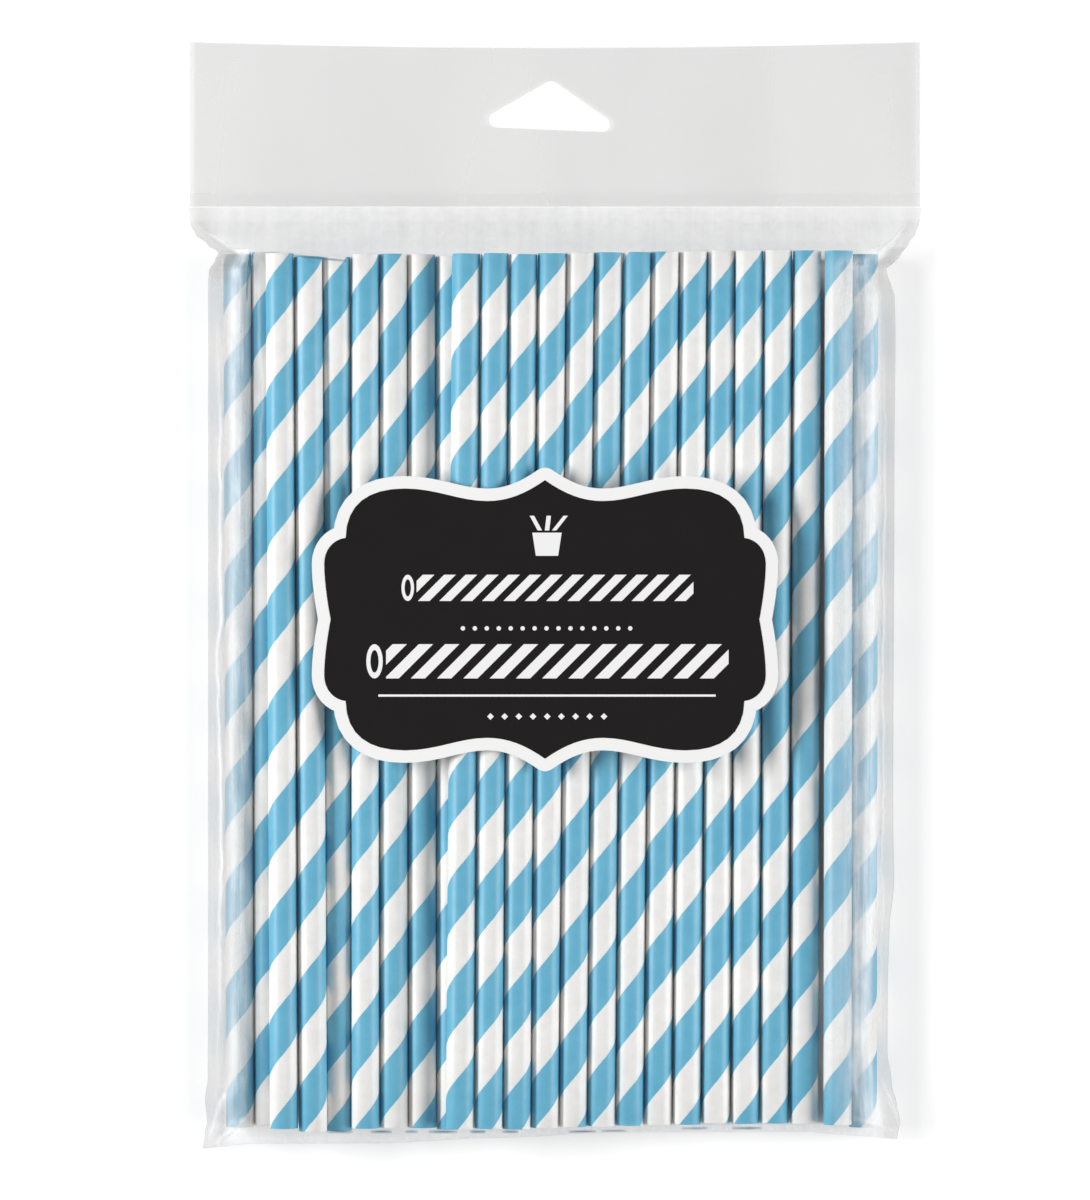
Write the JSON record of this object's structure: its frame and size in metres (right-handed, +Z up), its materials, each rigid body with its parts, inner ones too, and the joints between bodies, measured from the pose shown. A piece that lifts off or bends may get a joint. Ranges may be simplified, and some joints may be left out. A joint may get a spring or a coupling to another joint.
{
  "type": "pack of striped paper drinking straws",
  "caption": "Flat clear film header bag of spiral-striped paper drinking straws in one layer, with a hang hole in its header and a die-cut label on its front.",
  "frame": {"origin": "middle of the pack's footprint, on the surface that the pack lies on", "axes": "+Z up out of the label's face, +Y along the straws towards the header, +X to the right seen from the front"},
  "size_m": [0.166, 0.2502, 0.0131],
  "materials": {
    "striped_paper": "matt coated paper, wound in a spiral with one light blue and one white band",
    "clear_film": "thin clear glossy film with soft creases",
    "header_film": "stiff translucent grey-white film, satin",
    "label_card": "smooth label card, black print with a plain white die-cut edge"
  },
  "bodies": {
    "root": {"straw_01": "striped_paper", "straw_02": "striped_paper", "straw_03": "striped_paper", "straw_04": "striped_paper", "straw_05": "striped_paper", "straw_06": "striped_paper", "straw_07": "striped_paper", "straw_08": "striped_paper", "straw_09": "striped_paper", "straw_10": "striped_paper", "straw_11": "striped_paper", "straw_12": "striped_paper", "straw_13": "striped_paper", "straw_14": "striped_paper", "straw_15": "striped_paper", "straw_16": "striped_paper", "straw_17": "striped_paper", "straw_18": "striped_paper", "straw_19": "striped_paper", "straw_20": "striped_paper", "straw_21": "striped_paper", "straw_22": "striped_paper", "straw_23": "striped_paper", "straw_24": "striped_paper", "film_bag": "clear_film", "header": "header_film", "label": "label_card"}
  },
  "joints": []
}
